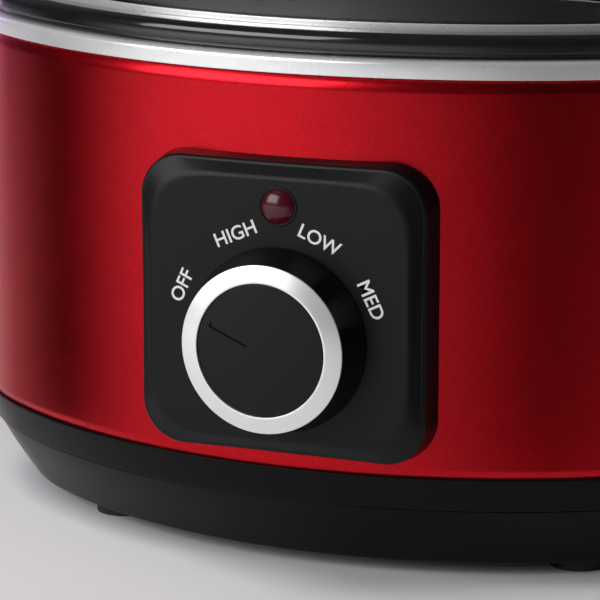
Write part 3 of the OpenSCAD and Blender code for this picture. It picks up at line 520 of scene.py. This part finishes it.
lipRadius, chromeCrown = knobSet["lipRadius"], chromeLow[1] - knobFront
ringProfile = roundCorners([
    (lipRadius, 0), (lipRadius, chromeCrown), (lipRadius + knobSet["ringLip"], chromeCrown),
    (knobRadius, -knobSet["ringEdge"] - knobSet["ringGap"]), (knobRadius, 0)],
    [0, 0.2 * mm, 0.35 * mm, 0.35 * mm, 0], 8)
finishPiece(makePiece("knob_bezel", [turnedPart(ringProfile, knobCentre, (0, 1, 0), columns=knobSet["columns"])],
                      smoothAngle=30), "knob", "satin_chrome", "knob_ring")

# Cap: rows across the pointer and columns along it, bunched at its edges. Each row is a chord, half its length the
# other side of a right triangle on the radius. The pointer is sunk where both edge ramps are past their start.
capSet = {"radius": 22.05 * mm, "edge": 0.45 * mm, "inner": 4.5 * mm, "outer": 19 * mm, "halfWidth": 0.8 * mm,
          "sunk": 0.7 * mm, "ramp": 0.1 * mm, "crown": 0.9 * mm, "angle": 157.5, "rows": 90, "columns": 120}
flatRadius = capSet["radius"] - capSet["edge"]
bunch = np.array([-0.5, -0.1, 0.1, 0.5]) * capSet["ramp"] * 2
across = np.unique(np.concatenate([
    flatRadius * np.sin(np.linspace(-np.pi / 2, np.pi / 2, capSet["rows"])),
    bunch + capSet["halfWidth"], bunch - capSet["halfWidth"]]))
along = np.unique(np.concatenate([
    np.sin(np.linspace(-np.pi / 2, np.pi / 2, capSet["columns"])),
    (bunch + capSet["inner"]) / flatRadius, (bunch + capSet["outer"]) / flatRadius]))
v = np.broadcast_to(across[:, None], (len(across), len(along)))
u = along[None, :] * np.sqrt(np.maximum(flatRadius ** 2 - v ** 2, 0))


# a ramp from 0 to 1 that is half way up where the gap is nothing
def rampOf(gap):
    return np.clip(gap / capSet["ramp"] + 0.5, 0, 1)


inPointer = rampOf(capSet["halfWidth"] - np.abs(v)) * rampOf(u - capSet["inner"]) * rampOf(capSet["outer"] - u)
capFront = capLow[1]
capY = capFront + capSet["sunk"] * inPointer - capSet["crown"] * (1 - (u ** 2 + v ** 2) / flatRadius ** 2)
capTurn = math.radians(capSet["angle"])
capGrid = np.stack([u * math.cos(capTurn) - v * math.sin(capTurn) + capMid[0], capY,
                    u * math.sin(capTurn) + v * math.cos(capTurn) + capMid[2]], -1)
a = np.linspace(0, np.pi / 2, 8)
capEdge = np.vstack([np.stack([flatRadius + capSet["edge"] * np.sin(a), capSet["edge"] * (1 - np.cos(a))], 1),
                     [(capSet["radius"], capHigh[1] - capFront), (0, capHigh[1] - capFront)]])
finishPiece(makePiece("knob_face", [
    (capGrid, gridFaces(len(across), len(along), False, False)),
    turnedPart(capEdge, (capMid[0], capFront, capMid[2]), (0, 1, 0), closeRows=False, columns=240)],
    smoothAngle=30), "knob", "black_knob_cap", "knob_cap")
print("knob done")

# handles: a rounded section carried round part of a circle, and a pad curved with the end arc
handleSet = {"bow": 42 * mm, "thick": 11 * mm, "tall": 22 * mm, "corner": 5 * mm, "padWide": 110 * mm,
             "padTall": 32 * mm, "padCorner": 10 * mm, "pad": 3.6 * mm, "padEdge": 1.2 * mm, "sink": 2.0 * mm,
             "stand": 0.15 * mm, "rows": 72, "columns": 64, "padColumns": 240}
for name, side, bowNode in (("left_grip", -1, "left_handle"), ("right_grip", 1, "right_handle")):
    gripLow, gripHigh = nodeBox(bowNode)
    gripZ = ((gripLow + gripHigh) / 2)[2]
    tip = gripHigh[0] if side > 0 else -gripLow[0]
    bowX = tip - handleSet["bow"] - handleSet["thick"] / 2
    # The bow ends where its circle crosses the end arc. By the cosine rule, the cosine of that angle is
    # (arc radius squared - distance between centres squared - bow radius squared) / (2 x distance x bow radius).
    apart, rows, columns = bowX - endCentre, handleSet["rows"], handleSet["columns"]
    meet = (((endRadius + handleSet["sink"]) ** 2 - apart ** 2 - handleSet["bow"] ** 2)
            / (2 * apart * handleSet["bow"]))
    sweepAngle = np.linspace(-math.acos(meet), math.acos(meet), rows)
    halfT, halfH = handleSet["thick"] / 2, handleSet["tall"] / 2
    section = evenLoop(roundCorners(boxCorners(halfT, halfH), handleSet["corner"], 12), columns)
    radius = handleSet["bow"] + section[None, :, 0]
    bowGrid = np.stack([side * (bowX + radius * np.cos(sweepAngle)[:, None]), radius * np.sin(sweepAngle)[:, None],
                        np.broadcast_to(gripZ + section[None, :, 1], (rows, columns))], -1)
    ends = [np.broadcast_to(bowGrid[k].mean(0), (columns, 3)) for k in (0, -1)]
    bowGrid = np.concatenate([ends[0][None], bowGrid, ends[1][None]])
    padOutline = roundCorners(boxCorners(handleSet["padWide"] / 2, handleSet["padTall"] / 2),
                              handleSet["padCorner"], 16)

    # lays the pad on the end arc: x is the other side of a right triangle on the arc's radius plus the lift
    def padPlace(across, up, lift):
        reach = endRadius + handleSet["stand"] + lift
        return np.stack([side * (endCentre + np.sqrt(reach ** 2 - across ** 2)), across, gripZ + up], -1)

    finishPiece(makePiece(name, [
        (bowGrid, gridFaces(len(bowGrid), columns, False, True)),
        slabPart(padOutline, handleSet["pad"], handleSet["padEdge"], padPlace, handleSet["padColumns"])]),
        "base", "black_handle", bowNode)
print("handles done")

# crock: outer skin up from the foot, over the rounded flange, down the lid recess and the inside to the floor
potLow, potHigh = nodeBox("cooking_pot")
rimTopZ = rimHigh[2]
potSet = {"outer": -28 * mm, "wall": 6 * mm, "corner": 24 * mm, "flange": -1.4 * mm, "under": 1.8 * mm,
          "recess": -11.5 * mm, "ledge": 3.2 * mm, "lugReach": 178 * mm, "lugHalf": 35 * mm, "lugCorner": 14 * mm,
          "lugRoot": 149 * mm, "lugInset": 0.4 * mm, "lugEdge": 2 * mm, "floor": -75 * mm, "ribIn": -8.6 * mm,
          "ribOut": -4.2 * mm, "ribGap": 0.3 * mm, "floorShares": (0, 0.35, 0.7)}
potInner = potSet["outer"] - potSet["wall"]
flangeTop, flangeUnder, potBase = potHigh[2], rimTopZ + potSet["under"], potLow[2]
innerCorner = potSet["corner"] - potSet["wall"]
potFloor, ribFoot = potSet["floor"], rimTopZ + potSet["ribGap"]
potCurve = roundCorners([
    (potFloor, potBase), (potSet["outer"], potBase), (potSet["outer"], flangeUnder), (potSet["ribIn"], flangeUnder),
    (potSet["ribIn"], ribFoot), (potSet["ribOut"], ribFoot), (potSet["ribOut"], flangeUnder),
    (potSet["flange"], flangeUnder), (potSet["flange"], flangeTop), (potSet["recess"], flangeTop),
    (potSet["recess"], flangeTop - potSet["ledge"]), (potInner, flangeTop - potSet["ledge"]),
    (potInner, potBase + potSet["wall"]), (potFloor, potBase + potSet["wall"])],
    [0, potSet["corner"], 4 * mm, 0, 0.5 * mm, 0.5 * mm, 0, 2.9 * mm, 2.9 * mm, 0.7 * mm, 0.6 * mm, 1.2 * mm,
     innerCorner, 0], 10)
potRows = [(potFloor, potBase, s) for s in potSet["floorShares"]] + [tuple(p) for p in potCurve]
potRows += [(potFloor, potBase + potSet["wall"], s) for s in potSet["floorShares"][::-1]]
lugOutline = roundCorners([(-potSet["lugHalf"], potSet["lugRoot"]), (potSet["lugHalf"], potSet["lugRoot"]),
                           (potSet["lugHalf"], potSet["lugReach"]), (-potSet["lugHalf"], potSet["lugReach"])],
                          [1 * mm, 1 * mm, potSet["lugCorner"], potSet["lugCorner"]], 20)
lugBase, lugThick = flangeUnder + potSet["lugInset"], flangeTop - flangeUnder - 2 * potSet["lugInset"]
potParts = [ovalPart(potRows, closeRows=False)]
for side in (-1, 1):
    # the outline's first direction runs along Y and its second out along X, to either side
    def lugPlace(across, out, lift):
        return np.stack([side * out, across, lugBase + lift], -1)

    potParts.append(slabPart(lugOutline, lugThick, potSet["lugEdge"], lugPlace))
finishPiece(makePiece("glazed_pot", potParts), "pot", "black_glaze", "cooking_pot")
print("pot done")

# lid: a spherical dome cut to the oval, with a soft shoulder
glassLow, glassHigh = nodeBox("lid_glass")
lidSet = {"offset": -13 * mm, "dome": 420 * mm, "thick": 4 * mm, "shoulder": 3.2 * mm, "rings": 46, "columns": 320,
          "sideRows": 8, "hoopIn": 3.5 * mm, "hoopOut": 0.8 * mm, "hoopGap": 0.05 * mm, "hoopSheet": 0.75 * mm}
domeCentre = glassHigh[2] - lidSet["dome"]
angle = np.linspace(-np.pi, np.pi, lidSet["columns"], endpoint=False)
edgeX, edgeY = ovalPoint(angle, lidSet["offset"])
edgeReach = np.hypot(edgeX, edgeY)


# height of the dome at a share of the edge's reach: its centre plus the root of (R squared - reach squared)
def domeHeight(scale):
    return domeCentre + np.sqrt(lidSet["dome"] ** 2 - (scale * edgeReach) ** 2)


lidRows = [np.stack([edgeX, edgeY, glassLow[2] + (domeHeight(1) - lidSet["shoulder"] - glassLow[2]) * s], 1)
           for s in np.linspace(0, 1, lidSet["sideRows"])]
for a in np.linspace(0, np.pi / 2, lidSet["sideRows"])[1:]:
    scale = 1 - lidSet["shoulder"] * (1 - math.cos(a)) / edgeReach
    settle = domeHeight(scale) - lidSet["shoulder"] * (1 - math.sin(a))
    lidRows.append(np.stack([edgeX * scale, edgeY * scale, settle], 1))
lastScale = 1 - lidSet["shoulder"] / edgeReach
for s in np.linspace(1, 0, lidSet["rings"])[1:]:
    lidRows.append(np.stack([edgeX * lastScale * s, edgeY * lastScale * s, domeHeight(lastScale * s)], 1))
lidGrid = np.array(lidRows)
glassDome = makePiece("glass_dome", [(lidGrid, gridFaces(len(lidGrid), lidSet["columns"], False, True))],
                      outward=False)
glassWall = glassDome.modifiers.new("thickness", "SOLIDIFY")
glassWall.thickness, glassWall.offset = lidSet["thick"], -1
finishPiece(glassDome, "lid", "lid_glass", "lid_glass")
lidRimLow, lidRimHigh = nodeBox("lid_rim")
hoopIn, hoopOut = lidSet["offset"] - lidSet["hoopIn"], lidSet["offset"] + lidSet["hoopOut"]
hoopGlass, hoopShelf = lidSet["offset"] + lidSet["hoopGap"], lidRimLow[2] + lidSet["hoopSheet"]
hoop = roundCorners([
    (hoopIn, lidRimLow[2]), (hoopOut, lidRimLow[2]), (hoopOut, lidRimHigh[2]), (hoopGlass, lidRimHigh[2]),
    (hoopGlass, hoopShelf), (hoopIn, hoopShelf)],
    [0.2 * mm, 0.5 * mm, 0.3 * mm, 0.2 * mm, 0.1 * mm, 0.2 * mm], 6)
finishPiece(makePiece("lid_hoop", [ovalPart(hoop)]), "lid", "polished_rim", "lid_rim")

# lid grip: a waisted stem under a wide cap, and a bright dished washer beneath
gripLow, gripHigh = nodeBox("lid_knob")
gripRadius, gripTall = gripHigh[0], gripHigh[2] - gripLow[2]
gripSet = {"foot": 9.5 * mm, "waist": 9.3 * mm, "waistZ": 5 * mm, "under": 7 * mm, "underZ": 9.5 * mm,
           "edgeZ": 13 * mm, "edgeDrop": 3.4 * mm, "crownIn": 4 * mm, "crownDrop": 1.2 * mm}
gripProfile = roundCorners([
    (0, 0), (gripSet["foot"], 0), (gripSet["waist"], gripSet["waistZ"]),
    (gripRadius - gripSet["under"], gripSet["underZ"]), (gripRadius, gripSet["edgeZ"]),
    (gripRadius, gripTall - gripSet["edgeDrop"]),
    (gripRadius - gripSet["crownIn"], gripTall - gripSet["crownDrop"]), (0, gripTall)],
    [0, 0.6 * mm, 4 * mm, 5 * mm, 2.6 * mm, 2.6 * mm, 9 * mm, 0], 12)
finishPiece(makePiece("lid_grip", [turnedPart(gripProfile, (0, 0, gripLow[2]), (0, 0, 1), closeRows=False)]),
            "lid", "black_handle", "lid_knob")
washerLow, washerHigh = nodeBox("lid_knob_base")
washerSet = {"bore": 2.8 * mm, "rim": 1.2 * mm, "top": 10 * mm}
washerTall = washerHigh[2] - washerLow[2]
washerProfile = roundCorners([
    (washerSet["bore"], 0), (washerHigh[0], 0), (washerHigh[0], washerSet["rim"]), (washerSet["top"], washerTall),
    (washerSet["bore"], washerTall)], [0, 0.3 * mm, 0.6 * mm, 1 * mm, 0], 8)
finishPiece(makePiece("lid_washer", [turnedPart(washerProfile, (0, 0, washerLow[2]), (0, 0, 1))]),
            "lid", "polished_rim", "lid_knob_base")
print("lid done")

# pale floor, soft boxes and the camera
floorMesh = bpy.data.meshes.new("floor")
floorHalf = 4.0  # metres
floorMesh.from_pydata([(*corner, 0) for corner in boxCorners(floorHalf, floorHalf)], [], [(0, 1, 2, 3)])
floor = bpy.data.objects.new("floor", floorMesh)
bpy.context.scene.collection.objects.link(floor)
floorLook = {"colour": (0.93, 0.93, 0.93), "roughness": 0.8, "specular": 0.1, "grainMm": 3.0, "bump": 0.02,
             "tone": 0.005}
floorMesh.materials.append(makeMaterial("floor", floorLook))


lightSet = {"aim": (0, 0, 100 * mm), "cardColumns": 61, "cardReach": 2.6, "cardFoot": 2 * mm, "cardRadius": 0.235,
            "cardHeight": 0.60}


# A point at a distance from the origin. Its bearing is measured from the front, positive to the right: x is sine of
# the bearing x cosine of the elevation, y is less the cosine of both, and z is the sine of the elevation.
def pointAt(bearing, elevation, distance):
    b, e = math.radians(bearing), math.radians(elevation)
    return Vector((math.sin(b) * math.cos(e), -math.cos(b) * math.cos(e), math.sin(e))) * distance


# the place of a lamp or camera that stands off from an aim and looks back at it
def lookingBack(aim, offset):
    return Matrix.Translation(aim + offset) @ offset.to_track_quat("Z", "Y").to_matrix().to_4x4()


# a soft box stands off from the middle of the object and lights it without being seen itself
def softBox(name, bearing, elevation, distance, wide, tall, power, colour=(1, 1, 1)):
    light = bpy.data.lights.new(name, "AREA")
    light.shape, light.size, light.size_y, light.energy, light.color = "RECTANGLE", wide, tall, power, colour
    lamp = bpy.data.objects.new(name, light)
    bpy.context.scene.collection.objects.link(lamp)
    lamp.visible_camera = False
    lamp.matrix_world = lookingBack(Vector(lightSet["aim"]), pointAt(bearing, elevation, distance))
    return lamp


softBox("keyBox", -34, 22, 1.5, 1.15, 0.85, 13)
topBox = softBox("topBox", -40, 62, 1.6, 0.8, 0.7, 10)
topBox.visible_glossy = False
softBox("leftBox", -114, 8, 1.2, 0.35, 0.8, 1.3, (0.75, 0.35, 1.0))


# A card is part of an upright cylinder round the object, seen only in reflections, as a studio flag is. It lets
# light through in proportion to 1 less a bell curve of the bearing, so its edges are soft.
def softCard(name, middle, spread, density):
    reach, columns = lightSet["cardReach"] * spread, lightSet["cardColumns"]
    bearing = np.radians(np.linspace(middle - reach, middle + reach, columns))
    foot = np.stack([lightSet["cardRadius"] * np.sin(bearing), -lightSet["cardRadius"] * np.cos(bearing),
                     np.full(columns, lightSet["cardFoot"])], 1)
    grid = np.stack([foot, foot + [0, 0, lightSet["cardHeight"]]])
    mesh = bpy.data.meshes.new(name)
    mesh.from_pydata(grid.reshape(-1, 3).tolist(), [], gridFaces(2, columns, False, False).reshape(-1, 4).tolist())
    bell = density * np.exp(-((np.degrees(bearing) - middle) / spread) ** 2)
    shade = mesh.attributes.new("shade", "FLOAT", "POINT")
    shade.data.foreach_set("value", np.concatenate([bell, bell]))
    card = bpy.data.objects.new(name, mesh)
    bpy.context.scene.collection.objects.link(card)
    material = bpy.data.materials.new(name)
    material.use_nodes = True
    tree = material.node_tree
    tree.nodes.clear()
    amount = tree.nodes.new("ShaderNodeAttribute")
    amount.attribute_name = "shade"
    clear, black = tree.nodes.new("ShaderNodeBsdfTransparent"), tree.nodes.new("ShaderNodeBsdfDiffuse")
    black.inputs["Color"].default_value = (0.002, 0.002, 0.002, 1)
    mix, output = tree.nodes.new("ShaderNodeMixShader"), tree.nodes.new("ShaderNodeOutputMaterial")
    tree.links.new(amount.outputs["Fac"], mix.inputs["Fac"])
    tree.links.new(clear.outputs[0], mix.inputs[1])
    tree.links.new(black.outputs[0], mix.inputs[2])
    tree.links.new(mix.outputs[0], output.inputs["Surface"])
    mesh.materials.append(material)
    card.visible_camera = card.visible_shadow = card.visible_diffuse = card.visible_transmission = False


softCard("leftCard", -61, 15, 1.0)
softCard("rightCard", 37, 18, 0.8)
world = bpy.data.worlds.new("studio")
bpy.context.scene.world = world
world.use_nodes = True
worldShade = world.node_tree.nodes["Background"]
worldShade.inputs["Color"].default_value = (0.93, 0.95, 1.0, 1)
worldShade.inputs["Strength"].default_value = 0.075

cameraSet = {"azimuth": 21.93, "elevation": 13.27, "distance": 1182.1 * mm, "lens": 192.35, "sensor": 36,
             "target": (-43.35 * mm, 0, 66.39 * mm), "near": 0.05, "far": 20}
cameraData = bpy.data.cameras.new("camera")
cameraData.lens, cameraData.sensor_width = cameraSet["lens"], cameraSet["sensor"]
cameraData.clip_start, cameraData.clip_end = cameraSet["near"], cameraSet["far"]
camera = bpy.data.objects.new("camera", cameraData)
bpy.context.scene.collection.objects.link(camera)
camera.matrix_world = lookingBack(Vector(cameraSet["target"]), pointAt(
    cameraSet["azimuth"], cameraSet["elevation"], cameraSet["distance"]))
bpy.context.scene.camera = camera
bpy.context.scene.view_settings.view_transform = "Standard"
print("stage done")
